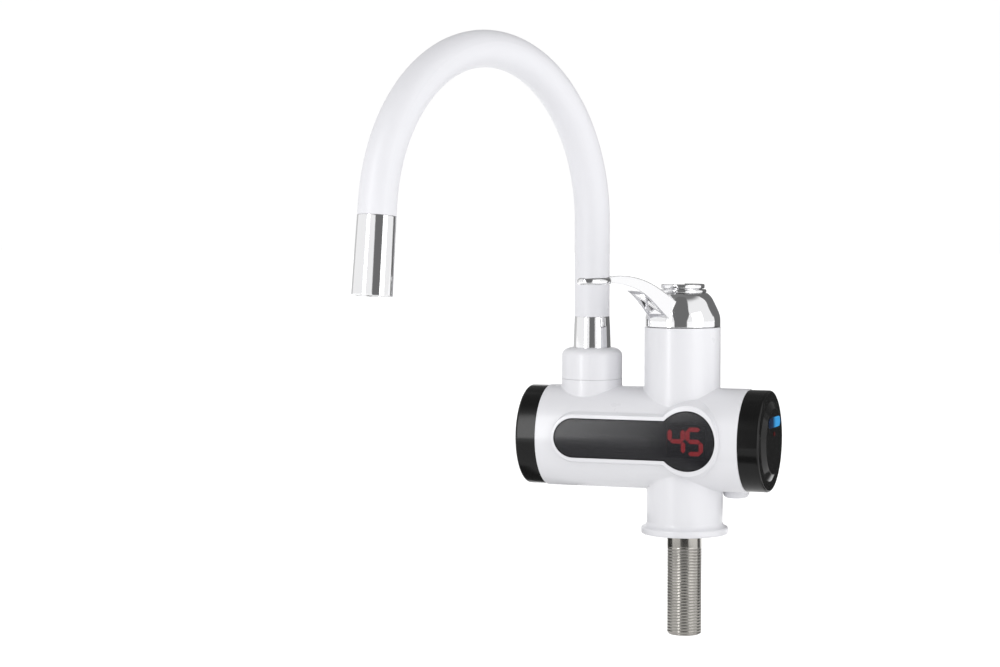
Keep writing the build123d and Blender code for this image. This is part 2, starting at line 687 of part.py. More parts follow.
def valve_manifold():
    """Brass manifold: inlet socket, riser, cartridge cup, hot return and switch port."""
    cup_bottom = CARTRIDGE_BOTTOM - CUP_GAP - CUP_FLOOR
    solid = upright(SOCKET_BOTTOM, SOCKET_TOP, SOCKET_R)
    cup_inside = CARTRIDGE_BOTTOM - CUP_GAP
    return_end = TANK_RIGHT - TANK_WALL - RETURN_IN_TANK
    solid += upright(SOCKET_TOP, cup_bottom, RISER_R, VALVE_X)
    solid += upright(cup_bottom, CUP_TOP, CUP_R, VALVE_X)
    solid += upright(AXIS_Z, cup_bottom, RETURN_R, RETURN_X)
    solid += Pos(RETURN_X, 0, AXIS_Z) * Sphere(RETURN_R)
    solid += along_x(return_end, RETURN_X, RETURN_R)
    solid += along_x(0, SWITCH_X, PORT_R, 0, SWITCH_PORT_Z)
    solid -= upright(SWITCH_PORT_Z - 2 * PORT_R, SWITCH_PORT_Z + 2 * PORT_R, SWITCH_R + CUP_GAP, SWITCH_X)
    solid -= upright(SOCKET_BOTTOM - 1, PIPE_TOP, PIPE_UPPER_R + PIPE_FIT)
    solid -= upright(PIPE_TOP - 1, cup_inside + 1, RISER_BORE_R, VALVE_X)
    solid -= upright(cup_inside, CUP_TOP + 1, CARTRIDGE_R + CUP_GAP, VALVE_X)
    groove_r = CUP_SEAL_R + CUP_SEAL_W
    solid -= ring(cup_inside - CUP_SEAL_H, cup_inside + 1, groove_r, CUP_SEAL_R, VALVE_X)
    solid -= upright(AXIS_Z, cup_inside + 1, RETURN_BORE_R, RETURN_X)
    solid -= along_x(return_end - 1, RETURN_X, RETURN_BORE_R)
    return solid - along_x(0, SWITCH_X, PORT_BORE_R, 0, SWITCH_PORT_Z)


def cartridge_seal():
    """Rubber ring in the cup's floor, under the cartridge."""
    top = CARTRIDGE_BOTTOM - CUP_GAP
    low = top - CUP_SEAL_H + CUP_GAP
    return ring(low, top, CUP_SEAL_R + CUP_SEAL_W - CUP_GAP, CUP_SEAL_R + CUP_GAP)


def cartridge_body():
    """Ceramic cartridge's plastic body, open below, with a neck for the stem."""
    body = upright(CARTRIDGE_BOTTOM, CARTRIDGE_SHOULDER, CARTRIDGE_R)
    body += upright(CARTRIDGE_SHOULDER, CARTRIDGE_TOP, CARTRIDGE_NECK_R)
    body -= upright(CARTRIDGE_BOTTOM - 1, stem_flange_top() + STEM_FIT, DISC_R + DISC_SIDE_GAP)
    return body - upright(CARTRIDGE_BOTTOM, CARTRIDGE_TOP + 1, STEM_R + STEM_FIT)


def stack_level(count):
    """Height of the underside of the piece that stands on the given number of discs."""
    return CARTRIDGE_BOTTOM + count * (DISC_T + DISC_GAP)


def stem_flange_top():
    """Height of the top of the stem's driving flange, above both discs."""
    return stack_level(2) + DRIVER_T


def on_valve(shape):
    """Move a shape drawn round the Z axis to the valve's axis."""
    return Pos(VALVE_X, 0, 0) * shape


def fixed_disc():
    """Fixed ceramic disc: a round inlet in the middle and a long port over the return bore."""
    base = stack_level(0)
    disc = upright(base, base + DISC_T, DISC_R) - upright(base - 1, base + DISC_T + 1, RISER_BORE_R)
    plane = Plane(origin=(-RETURN_SIDE, 0, base - 1), x_dir=(0, 1, 0), z_dir=(0, 0, 1))
    return disc - extrude(plane * SlotCenterToCenter(PORT_L - PORT_W, PORT_W), DISC_T + 2)


def turning_disc():
    """Turning ceramic disc, whose blind passage joins the inlet to the port when it is over both."""
    base = stack_level(1)
    disc = upright(base, base + DISC_T, DISC_R)
    plane = Plane(origin=(-RETURN_SIDE / 2, 0, base), x_dir=(1, 0, 0), z_dir=(0, 0, 1))
    passage = plane * SlotCenterToCenter(RETURN_SIDE, PORT_W)
    return disc - extrude(passage, PASSAGE_DEPTH) - extrude(passage, -1)


def cartridge_stem():
    """Turning stem: driving flange, round journal and square head for the lever."""
    stem = upright(stack_level(2), stem_flange_top(), DISC_R - DRIVER_STEP)
    stem += upright(stack_level(2), CARTRIDGE_TOP, STEM_R)
    square = Rectangle(STEM_SQUARE, STEM_SQUARE)
    stem += extrude(Pos(0, 0, CARTRIDGE_TOP) * Rot(0, 0, LEVER_TURN) * square, STEM_TOP - CARTRIDGE_TOP)
    return stem - upright(STEM_TOP - LEVER_SCREW_L, STEM_TOP + 1, LEVER_SCREW_R)


def cartridge_nut():
    """Brass ring nut that holds the cartridge down, with two spanner slots."""
    base = CARTRIDGE_SHOULDER + CUP_GAP
    nut = ring(base, base + NUT_RING_H, CARTRIDGE_R, CARTRIDGE_NECK_R + CUP_GAP)
    slot = Pos(0, 0, base + NUT_RING_H) * Box(2 * CARTRIDGE_R + 2, SPANNER_SLOT_W, NUT_RING_H)
    return nut - slot


def bell(shrink):
    """Bell-shaped solid of the lever's hub, drawn in by shrink."""
    top = HUB_TOP - shrink
    with BuildSketch(Plane.XZ) as section:
        with BuildLine():
            Line((0, HUB_BOTTOM), (HUB_R - shrink, HUB_BOTTOM))
            skirt = (HUB_R - shrink, HUB_BOTTOM + HUB_SKIRT_H)
            middle = (HUB_R - HUB_MID_IN - shrink, HUB_BOTTOM + HUB_MID_H)
            Line((HUB_R - shrink, HUB_BOTTOM), skirt)
            Spline(skirt, middle, (HUB_TOP_R - shrink / 2, top), tangents=((0, 1), (-1, 0.62)))
            Line((HUB_TOP_R - shrink / 2, top), (0, top))
            Line((0, top), (0, HUB_BOTTOM))
        make_face()
    return revolve(section.sketch, Axis.Z)


def arm_blank(top, bottom, plan, tail):
    """Solid whose side view lies between two curves and whose plan is the outline given."""
    across = side_plane(0, LEVER_TURN)
    with BuildSketch(Plane(origin=(0, 0, HUB_BOTTOM), x_dir=across.x_dir, z_dir=across.z_dir)) as side_view:
        with BuildLine():
            Spline(*top)
            Line(top[-1], bottom[-1])
            Spline(*reversed(bottom))
            Line(bottom[0], (tail, bottom[0][1]))
            Line((tail, bottom[0][1]), top[0])
        make_face()
    level = Plane(origin=(0, 0, HUB_BOTTOM), x_dir=facing(LEVER_TURN), z_dir=(0, 0, 1))
    with BuildSketch(level) as plan_view:
        with BuildLine():
            Spline(*plan)
            Line(plan[-1], (plan[-1][0], -plan[-1][1]))
            Spline(*[(s, -w) for s, w in reversed(plan)])
            Line((plan[0][0], -plan[0][1]), plan[0])
        make_face()
    return extrude(side_view.sketch, 2 * ARM_ROOT_HALF_W, both=True) & extrude(plan_view.sketch, HUB_TOP)


def lever():
    """Chrome lever: bell hub, arched arm hollow below with crossed ribs, and an oval finger pad."""
    arm = arm_blank(ARM_TOP, ARM_BOTTOM, ARM_PLAN, ARM_TAIL)
    lowered = [(s, z - ARM_SKIN) for s, z in ARM_TOP[1:-1]]
    dropped = [(s + 2 * ARM_SIDE_WALL, z - POCKET_DROP) for s, z in ARM_BOTTOM[:-2]]
    narrowed = [(s, w - ARM_SIDE_WALL) for s, w in ARM_PLAN]
    pocket = arm_blank(lowered, dropped, narrowed, lowered[0][0])
    pocket_middle = facing(LEVER_TURN) * ((POCKET_FROM + POCKET_TO) / 2)
    stretch = Rot(0, 0, LEVER_TURN) * Box(POCKET_TO - POCKET_FROM, 2 * ARM_ROOT_HALF_W, 2 * HUB_TOP)
    pocket &= Pos(*pocket_middle) * stretch
    middle = facing(LEVER_TURN) * RIB_S
    ribs = Part()
    for turn in (-RIB_TURN, RIB_TURN):
        plate = Rot(0, 0, LEVER_TURN + turn) * Box(RIB_L, RIB_T, 2 * HUB_TOP)
        ribs += Pos(*middle) * plate
    handle = bell(0) + (arm - (pocket - ribs))
    level = Plane(origin=(0, 0, HUB_BOTTOM + PAD_RISE - PAD_T), x_dir=facing(LEVER_TURN), z_dir=(0, 0, 1))
    pad = extrude(level * Pos(PAD_S, 0) * Ellipse(PAD_HALF_L, PAD_HALF_W), PAD_T)
    pad = fillet(pad.edges(), PAD_ROUND)
    handle += pad
    cavity = bell(HUB_WALL) - upright(HUB_BOTTOM, HUB_TOP, HUB_POST_R)
    handle -= cavity - upright(STEM_TOP, HUB_TOP, HUB_R)
    handle -= upright(STEM_TOP + HUB_WEB_T, HUB_TOP + 1, BUTTON_SPIGOT_R + LEVER_GAP)
    handle -= upright(HUB_BOTTOM - 1, HUB_TOP, LEVER_SCREW_R + LEVER_GAP)
    socket = Rectangle(STEM_SQUARE + LEVER_GAP, STEM_SQUARE + LEVER_GAP)
    mouth = Pos(0, 0, HUB_BOTTOM - 1) * Rot(0, 0, LEVER_TURN)
    return handle - extrude(mouth * socket, STEM_TOP + LEVER_GAP - HUB_BOTTOM + 1)


def index_button():
    """Chrome button of two stacked rings that plugs the top of the hub."""
    low = HUB_TOP + BUTTON_SEAT
    waist = low + BUTTON_LOW_H
    high = waist + BUTTON_NECK_H
    button = upright(low, waist, BUTTON_LOW_R)
    button = fillet(button.edges(), BUTTON_ROUND)
    crown = upright(high, high + BUTTON_TOP_H, BUTTON_TOP_R)
    button += fillet(crown.edges(), BUTTON_ROUND)
    button += upright(waist - BUTTON_LOW_H / 2, high + BUTTON_TOP_H / 2, BUTTON_TOP_R - 2 * BUTTON_ROUND)
    spigot_bottom = STEM_TOP + HUB_WEB_T + LEVER_GAP
    return button + ring(spigot_bottom, waist, BUTTON_SPIGOT_R, BUTTON_SPIGOT_R - BUTTON_SPIGOT_T)


def lever_screw():
    """Screw that holds the lever down on the stem, under the button."""
    seat = STEM_TOP + HUB_WEB_T
    screw = upright(seat - LEVER_SCREW_L, seat, LEVER_SCREW_R - LEVER_GAP / 2)
    return screw + upright(seat, seat + LEVER_SCREW_HEAD_H, LEVER_SCREW_HEAD_R)


def spout_nut():
    """White nut over the spout's collar, with a rounded shoulder."""
    ceiling = COLLAR_BOTTOM + COLLAR_H + FERRULE_NUT_GAP
    hole = FERRULE_LOW_R + FERRULE_NUT_GAP
    shoulder_r = hole + NUT_LAND
    shoulder_z = NUT_TOP - NUT_SHOULDER_H
    thread = BOSS_THREAD_R + NUT_GAP
    base = BOSS_TOP + NUT_GAP
    with BuildSketch(Plane.XZ) as section:
        with BuildLine():
            Line((thread, base), (BOSS_R, base))
            Line((BOSS_R, base), (BOSS_R, shoulder_z))
            EllipticalCenterArc((shoulder_r, shoulder_z), BOSS_R - shoulder_r, NUT_SHOULDER_H)
            Line((shoulder_r, NUT_TOP), (hole, NUT_TOP))
            Line((hole, NUT_TOP), (hole, ceiling))
            Line((hole, ceiling), (thread, ceiling))
            Line((thread, ceiling), (thread, base))
        make_face()
    return Pos(SPOUT_X, 0, 0) * revolve(section.sketch, Axis.Z)


def spout_seat():
    """Brass tail fixed in the boss, whose bore is the spout's bearing."""
    seat = upright(SEAT_BOTTOM, SEAT_TOP, SEAT_R, SPOUT_X)
    seat -= upright(TAIL_BOTTOM - TAIL_END_GAP, SEAT_TOP + 1, TAIL_R + TAIL_FIT, SPOUT_X)
    return seat - upright(SEAT_BOTTOM - 1, SEAT_TOP, WATERWAY_R, SPOUT_X)


def spout_ferrule():
    """Chrome swivel ferrule: tail with seal grooves, trapped collar and flared sleeve."""
    with BuildSketch(Plane.XZ) as section:
        with BuildLine():
            Line((0, COLLAR_BOTTOM), (FERRULE_LOW_R, COLLAR_BOTTOM))
            Line((FERRULE_LOW_R, COLLAR_BOTTOM), (FERRULE_LOW_R, NUT_TOP))
            flare_mid = (FERRULE_MID_R, (NUT_TOP + FERRULE_TOP) / 2)
            ThreePointArc((FERRULE_LOW_R, NUT_TOP), flare_mid, (FERRULE_TOP_R, FERRULE_TOP))
            Line((FERRULE_TOP_R, FERRULE_TOP), (0, FERRULE_TOP))
            Line((0, FERRULE_TOP), (0, COLLAR_BOTTOM))
        make_face()
    ferrule = Pos(SPOUT_X, 0, 0) * revolve(section.sketch, Axis.Z)
    ferrule += upright(COLLAR_BOTTOM, COLLAR_BOTTOM + COLLAR_H, COLLAR_R, SPOUT_X)
    ferrule += upright(TAIL_BOTTOM, COLLAR_BOTTOM, TAIL_R, SPOUT_X)
    for place in RING_PLACES:
        groove = TAIL_BOTTOM + place
        groove_top = groove + RING_SECTION + 2 * RING_GAP
        ferrule -= ring(groove, groove_top, TAIL_R + 1, TAIL_R - RING_SECTION, SPOUT_X)
    ferrule -= upright(TAIL_BOTTOM - 1, FERRULE_TOP, WATERWAY_R, SPOUT_X)
    return ferrule - upright(FERRULE_TOP - CORE_SEAT, FERRULE_TOP + 1, CORE_R + CORE_GAP, SPOUT_X)


def spout_seals():
    """Two rubber rings in the grooves of the ferrule's tail."""
    rings = []
    for place in RING_PLACES:
        low = TAIL_BOTTOM + place + RING_GAP
        inner = TAIL_R - RING_SECTION + RING_GAP
        rings.append(ring(low, low + RING_SECTION, TAIL_R, inner, SPOUT_X))
    return Compound(children=rings)


def hose_point(place):
    """World point of the hose's route in its upright plane: 'bend', 'top', 'bend_end' or 'end'."""
    lean = radians(NOZZLE_LEAN)
    end_s = HOSE_BEND_R * (1 + cos(lean))
    end_z = HOSE_STRAIGHT_TOP + HOSE_BEND_R * sin(lean)
    points = {
        "bend": (0, HOSE_STRAIGHT_TOP),
        "top": (HOSE_BEND_R, HOSE_STRAIGHT_TOP + HOSE_BEND_R),
        "bend_end": (end_s, end_z),
        "end": (end_s + HOSE_STUB * sin(lean), end_z - HOSE_STUB * cos(lean)),
    }
    return side_plane(SPOUT_X, SPOUT_TURN).from_local_coords(Vector(*points[place], 0))


def flow_direction():
    """Direction of the water at the nozzle, down and slightly outward."""
    lean = radians(NOZZLE_LEAN)
    return facing(SPOUT_TURN) * sin(lean) + Vector(0, 0, -cos(lean))


def gooseneck(radius, early, late):
    """Round bar along the hose's route, longer by early at the ferrule and late at the nozzle."""
    start = Vector(SPOUT_X, 0, FERRULE_TOP - early)
    end = hose_point("end") + flow_direction() * late
    rise = Line(start, hose_point("bend"))
    bend = ThreePointArc(hose_point("bend"), hose_point("top"), hose_point("bend_end"))
    stub = Line(hose_point("bend_end"), end)
    section = Plane(origin=start, z_dir=(0, 0, 1)) * Circle(radius)
    return sweep(section, path=Wire([rise, bend, stub]))


def hose_sleeve():
    """Silicone sleeve of the gooseneck."""
    return gooseneck(HOSE_R, 0, 0) - gooseneck(HOSE_BORE_R, 1, 1)


def hose_core():
    """Bendable metal water tube inside the sleeve."""
    seat = CORE_SEAT - CORE_GAP
    return gooseneck(CORE_R, seat, seat) - gooseneck(CORE_BORE_R, seat + 1, seat + 1)


def on_nozzle(shape):
    """Move a shape drawn with the nozzle's top at z = 0 and water along +Z to its place."""
    across = side_plane(SPOUT_X, SPOUT_TURN).z_dir
    return Plane(origin=hose_point("end"), x_dir=across, z_dir=flow_direction()) * shape


def nozzle_shell():
    """Chrome nozzle, slightly wider at its mouth, bored for the core tube and the aerator."""
    shell = turned(((0, 0), (NOZZLE_TOP_R, 0), (NOZZLE_MOUTH_R, NOZZLE_L), (0, NOZZLE_L)))
    shell = fillet(shell.edges().filter_by(GeomType.CIRCLE), NOZZLE_ROUND)
    shell -= upright(-1, CORE_SEAT, CORE_R + CORE_GAP)
    shell -= upright(0, NOZZLE_L, WATERWAY_R)
    return on_nozzle(shell - upright(NOZZLE_L - NOZZLE_MOUTH_DEPTH, NOZZLE_L + 1, NOZZLE_MOUTH_BORE_R))


def aerator_insert():
    """Plastic aerator cup with a perforated face."""
    outer = NOZZLE_MOUTH_BORE_R - AERATOR_GAP
    low = NOZZLE_L - NOZZLE_MOUTH_DEPTH + WASHER_T
    face = NOZZLE_L - AERATOR_SETBACK
    cup = upright(low, face, outer) - upright(low - 1, face - AERATOR_FACE_T, outer - AERATOR_RIM)
    for ring_no, count in ((0, 1), (1, 6), (2, 12)):
        for i in range(count):
            turn = radians(360 * i / count)
            spot = (ring_no * AERATOR_PITCH * cos(turn), ring_no * AERATOR_PITCH * sin(turn))
            cup -= upright(face - AERATOR_FACE_T - 1, face + 1, AERATOR_HOLE_R, *spot)
    return on_nozzle(cup)


def aerator_washer():
    """Rubber washer behind the aerator."""
    low = NOZZLE_L - NOZZLE_MOUTH_DEPTH
    return on_nozzle(ring(low, low + WASHER_T, NOZZLE_MOUTH_BORE_R - AERATOR_GAP, CORE_R))


def heating_tank():
    """Stainless tank with a socket for the hot return and a riser to the spout seat."""
    tank = along_x(TANK_LEFT, TANK_RIGHT, TANK_R, TANK_Y)
    tank = fillet(tank.edges().filter_by(GeomType.CIRCLE), TANK_ROUND)
    outlet = upright(AXIS_Z + TANK_R / 2, SEAT_BOTTOM, OUTLET_R, SPOUT_X)
    tank += outlet
    tank -= along_x(TANK_LEFT + TANK_WALL, TANK_RIGHT - TANK_WALL, TANK_R - TANK_WALL, TANK_Y)
    tank -= along_x(TANK_RIGHT - TANK_WALL - 1, TANK_RIGHT + 1, RETURN_R + TANK_GAP)
    element_hole = hypot(ELEMENT_GAP_Y / 2, ELEMENT_RISE) + ELEMENT_R + TANK_GAP
    tank -= along_x(TANK_LEFT - 1, TANK_LEFT + TANK_WALL + 1, element_hole, TANK_Y)
    return tank - upright(AXIS_Z, SEAT_BOTTOM + 1, WATERWAY_R, SPOUT_X)


def hairpin(z):
    """One hairpin of the heating element, lying level at height z."""
    half = ELEMENT_GAP_Y / 2
    right = TANK_RIGHT - ELEMENT_END_GAP
    front = Line((TANK_LEFT, TANK_Y - half, z), (right, TANK_Y - half, z))
    bend = ThreePointArc((right, TANK_Y - half, z), (right + half, TANK_Y, z), (right, TANK_Y + half, z))
    back = Line((right, TANK_Y + half, z), (TANK_LEFT, TANK_Y + half, z))
    section = Plane(origin=(TANK_LEFT, TANK_Y - half, z), z_dir=(1, 0, 0)) * Circle(ELEMENT_R)
    return sweep(section, path=Wire([front, bend, back]))


def heating_element():
    """Two hairpin heaters on a flange at the tank's left end, with their terminals."""
    element = along_x(TANK_LEFT - ELEMENT_FLANGE_T, TANK_LEFT, ELEMENT_FLANGE_R, TANK_Y)
    for z in (AXIS_Z - ELEMENT_RISE, AXIS_Z + ELEMENT_RISE):
        element += hairpin(z)
        for y in (TANK_Y - ELEMENT_GAP_Y / 2, TANK_Y + ELEMENT_GAP_Y / 2):
            left = TANK_LEFT - ELEMENT_FLANGE_T
            element += along_x(left - TERMINAL_L, left, TERMINAL_R, y, z)
    return element


def thermal_cutout():
    """Round thermal cut-out clamped on top of the tank, with two blade terminals."""
    low = AXIS_Z + TANK_R
    cutout = upright(low - CUTOUT_SADDLE, low + CUTOUT_H, CUTOUT_R, CUTOUT_X, TANK_Y)
    blade = Box(BLADE_W, BLADE_L, BLADE_T)
    for x in (CUTOUT_X - BLADE_W, CUTOUT_X + BLADE_W):
        cutout += Pos(x, TANK_Y - CUTOUT_R, low + CUTOUT_H - BLADE_T) * blade
    return cutout - along_x(TANK_LEFT, TANK_RIGHT, TANK_R, TANK_Y)


def pressure_switch_body():
    """Pressure switch cup with a bracket for the micro switch."""
    ceiling = SWITCH_TOP - SWITCH_LID_T
    cup = upright(SWITCH_BOTTOM, SWITCH_TOP, SWITCH_R, SWITCH_X)
    cup -= upright(SWITCH_BOTTOM + SWITCH_FLOOR, ceiling, PLUNGER_HEAD_R + PLUNGER_GAP, SWITCH_X)
    cup -= upright(ceiling - 1, SWITCH_TOP + 1, PLUNGER_R + PLUNGER_FIT, SWITCH_X)
    cup -= along_x(SWITCH_X - SWITCH_R - 1, SWITCH_X, PORT_BORE_R, 0, SWITCH_PORT_Z)
    cup -= upright(SWITCH_PORT_Z, SWITCH_BOTTOM + SWITCH_FLOOR + 1, PORT_BORE_R, SWITCH_X)
    top = micro_switch_bottom() + MICRO_SWITCH_H
    bracket = Box(BRACKET_W, BRACKET_T, top - ceiling)
    return cup + Pos(SWITCH_X, SWITCH_R - BRACKET_T / 2, (ceiling + top) / 2) * bracket


def plunger_top():
    """Height of the plunger's tip at rest."""
    return SWITCH_TOP + PLUNGER_PROUD


def micro_switch_bottom():
    """Height of the micro switch's underside, clear of the risen plunger."""
    return plunger_top() + PLUNGER_TRAVEL + PLUNGER_GAP


def pressure_plunger():
    """Plunger that rises when water flows and trips the micro switch."""
    low = SWITCH_BOTTOM + SWITCH_FLOOR + PLUNGER_GAP
    plunger = upright(low, low + PLUNGER_HEAD_H, PLUNGER_HEAD_R, SWITCH_X)
    return plunger + upright(low, plunger_top(), PLUNGER_R, SWITCH_X)


def pressure_spring():
    """Return spring between the plunger's head and the lid."""
    end_gap = SPRING_WIRE_R + SPRING_GAP
    low = SWITCH_BOTTOM + SWITCH_FLOOR + PLUNGER_GAP + PLUNGER_HEAD_H + end_gap
    height = SWITCH_TOP - SWITCH_LID_T - end_gap - low
    route = Pos(SWITCH_X, 0, low) * Helix(height / SPRING_TURNS, height, SPRING_R)
    section = Plane(origin=route @ 0, z_dir=route % 0) * Circle(SPRING_WIRE_R)
    return sweep(section, path=route, is_frenet=True)


def micro_switch():
    """Micro switch block on the bracket."""
    centre_y = SWITCH_R - BRACKET_T - MICRO_SWITCH_D / 2
    block = Box(MICRO_SWITCH_W, MICRO_SWITCH_D, MICRO_SWITCH_H)
    return Pos(SWITCH_X, centre_y, micro_switch_bottom() + MICRO_SWITCH_H / 2) * block


def build():
    """Every node of the tap by name."""
    blue_lamp, red_lamp = lamps()
    return {
        "main_housing": main_housing(),
        "base_seal": base_seal(),
        "inlet_pipe": inlet_pipe(),
        "cord_bushing": cord_bushing(),
        "left_end_cap": end_cap(-1),
        "right_end_cap": end_cap(1),
        "left_cap_cover": cap_cover(-1),
        "right_cap_cover": cap_cover(1),
        "blue_lamp_lens": blue_lamp,
        "red_lamp_lens": red_lamp,
        "left_cap_screws": cap_screws(-1),
        "right_cap_screws": cap_screws(1),
        "display_lens": display_lens(),
        "display_module": display_module(),
        "digit_segments": digit_segments(),
        "control_board": control_board(),
        "power_triac": power_triac(),
        "heating_tank": heating_tank(),
        "heating_element": heating_element(),
        "thermal_cutout": thermal_cutout(),
        "valve_manifold": valve_manifold(),
        "cartridge_body": on_valve(cartridge_body()),
        "cartridge_seal": on_valve(cartridge_seal()),
        "fixed_ceramic_disc": on_valve(fixed_disc()),
        "turning_ceramic_disc": on_valve(turning_disc()),
        "cartridge_stem": on_valve(cartridge_stem()),
        "cartridge_nut": on_valve(cartridge_nut()),
        "lever": on_valve(lever()),
        "lever_screw": on_valve(lever_screw()),
        "index_button": on_valve(index_button()),
        "spout_seat": spout_seat(),
        "spout_nut": spout_nut(),
        "spout_ferrule": spout_ferrule(),
        "spout_seals": spout_seals(),
        "hose_sleeve": hose_sleeve(),
        "hose_core": hose_core(),
        "nozzle_shell": nozzle_shell(),
        "aerator_insert": aerator_insert(),
        "aerator_washer": aerator_washer(),
        "pressure_switch_body": pressure_switch_body(),
        "pressure_plunger": pressure_plunger(),
        "pressure_spring": pressure_spring(),
        "micro_switch": micro_switch(),
    }


for node, shape in build().items():
    export_step(shape, f"parts/{node}.step")
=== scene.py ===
"""Electric instant water heater tap, dressed for a studio picture.

Metres, +Z up. The origin is the centre of the base flange's underside, and the display faces -Y.
"""
from math import asin, cos, pi, radians, sin, sqrt, tau

import bmesh
import bpy
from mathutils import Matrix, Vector


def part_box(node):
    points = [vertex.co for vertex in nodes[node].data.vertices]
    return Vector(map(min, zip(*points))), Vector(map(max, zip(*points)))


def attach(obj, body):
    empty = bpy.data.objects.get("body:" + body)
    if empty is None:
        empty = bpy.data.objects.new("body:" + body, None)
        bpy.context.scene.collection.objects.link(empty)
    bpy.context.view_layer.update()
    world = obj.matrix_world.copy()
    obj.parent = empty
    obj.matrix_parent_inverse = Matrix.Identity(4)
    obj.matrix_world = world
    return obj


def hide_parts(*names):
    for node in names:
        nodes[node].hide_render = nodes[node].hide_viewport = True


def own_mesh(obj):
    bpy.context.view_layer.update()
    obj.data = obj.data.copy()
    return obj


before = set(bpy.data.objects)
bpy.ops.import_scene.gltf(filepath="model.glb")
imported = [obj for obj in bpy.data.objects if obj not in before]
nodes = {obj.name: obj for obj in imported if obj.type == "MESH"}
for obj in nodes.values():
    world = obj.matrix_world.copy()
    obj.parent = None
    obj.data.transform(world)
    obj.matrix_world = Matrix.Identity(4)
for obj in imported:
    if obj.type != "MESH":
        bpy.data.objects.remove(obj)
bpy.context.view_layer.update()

# Camera
# It stands a little to the right of the display and slightly above the body, 1.4 metres away.
# Its long lens keeps the upright pipe and the hose almost parallel.
CAMERA_PLACE = Vector((0.36750, -1.28496, 0.18451))
CAMERA_AIM = Vector((-0.12010, 0.0, 0.11945))
LENS_MM = 79.2
SENSOR_MM = 36.0
SEES_TO = 50.0
view = bpy.data.cameras.new("camera")
view.lens = LENS_MM
view.sensor_width = SENSOR_MM
view.sensor_fit = "HORIZONTAL"
view.clip_end = SEES_TO
camera = bpy.data.objects.new("camera", view)
camera.location = CAMERA_PLACE
camera.rotation_euler = (CAMERA_AIM - CAMERA_PLACE).to_track_quat("-Z", "Y").to_euler()
bpy.context.scene.collection.objects.link(camera)
bpy.context.scene.camera = camera
bpy.context.scene.view_settings.view_transform = "Standard"

# Studio floor
# A pale sheet on which the pipe's lower end stands, lit so that it hardly shows a shadow.
# It is wide enough to meet the white walls far behind the tap.
FLOOR_HALF = 20.0
FLOOR_CORNERS = ((-1, -1), (1, -1), (1, 1), (-1, 1))
FLOOR_DROP = 0.0002
FLOOR_PAINT = (0.9, 0.9, 0.9)
FLOOR_ROUGH = 0.9
FLOOR_GLOW = 0.50
floor_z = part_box("inlet_pipe")[0].z - FLOOR_DROP
floor_mesh = bpy.data.meshes.new("floor")
floor_spots = [(x * FLOOR_HALF, y * FLOOR_HALF, floor_z) for x, y in FLOOR_CORNERS]
floor_mesh.from_pydata(floor_spots, [], [(0, 1, 2, 3)])
floor = bpy.data.objects.new("floor", floor_mesh)
bpy.context.scene.collection.objects.link(floor)
pale = bpy.data.materials.new("pale_floor")
pale.use_nodes = True
pale_shader = pale.node_tree.nodes["Principled BSDF"]
pale_shader.inputs["Base Color"].default_value = (*FLOOR_PAINT, 1)
pale_shader.inputs["Roughness"].default_value = FLOOR_ROUGH
pale_shader.inputs["Specular IOR Level"].default_value = 0.0
pale_shader.inputs["Emission Color"].default_value = (1, 1, 1, 1)
pale_shader.inputs["Emission Strength"].default_value = FLOOR_GLOW
floor_mesh.materials.append(pale)

# Studio light
# White walls under a darker ceiling light everything evenly, with soft boxes at the left and right.
# Cards seen only in reflections put dark bands and outlines into the plating, the pipe and the lens,
# and a light grey patch on the floor also shades what faces it.
WALL_GLOW = 1.01
CEILING_GLOW = 0.22
CEILING_STARTS = 0.72
CEILING_FULL = 0.92
world = bpy.data.worlds.new("white_walls")
world.use_nodes = True
sky = world.node_tree
direction = sky.nodes.new("ShaderNodeTexCoord")
split_sky = sky.nodes.new("ShaderNodeSeparateXYZ")
ceiling = sky.nodes.new("ShaderNodeMapRange")
ceiling.interpolation_type = "SMOOTHSTEP"
ceiling.inputs["From Min"].default_value = CEILING_STARTS
ceiling.inputs["From Max"].default_value = CEILING_FULL
ceiling.inputs["To Min"].default_value = WALL_GLOW
ceiling.inputs["To Max"].default_value = CEILING_GLOW
sky.links.new(direction.outputs["Generated"], split_sky.inputs["Vector"])
sky.links.new(split_sky.outputs["Z"], ceiling.inputs["Value"])
sky.links.new(ceiling.outputs["Result"], sky.nodes["Background"].inputs["Strength"])
sky.nodes["Background"].inputs["Color"].default_value = (1, 1, 1, 1)
bpy.context.scene.world = world


def soft_box(name, place, aim, size, watts, fills=True, shines=True):
    """Soft light aimed at a point, which fills matt surfaces, shines in glossy ones, or both."""
    light = bpy.data.lights.new(name, "AREA")
    light.shape = "RECTANGLE"
    light.size, light.size_y = size
    light.energy = watts
    holder = bpy.data.objects.new(name, light)
    holder.location = place
    holder.rotation_euler = (Vector(aim) - Vector(place)).to_track_quat("-Z", "Y").to_euler()
    holder.visible_diffuse = fills
    holder.visible_glossy = shines
    bpy.context.scene.collection.objects.link(holder)


def upright_corners(start, end, low, high):
    """Corners of an upright card that stands between two floor points."""
    return [(*start, low), (*end, low), (*end, high), (*start, high)]


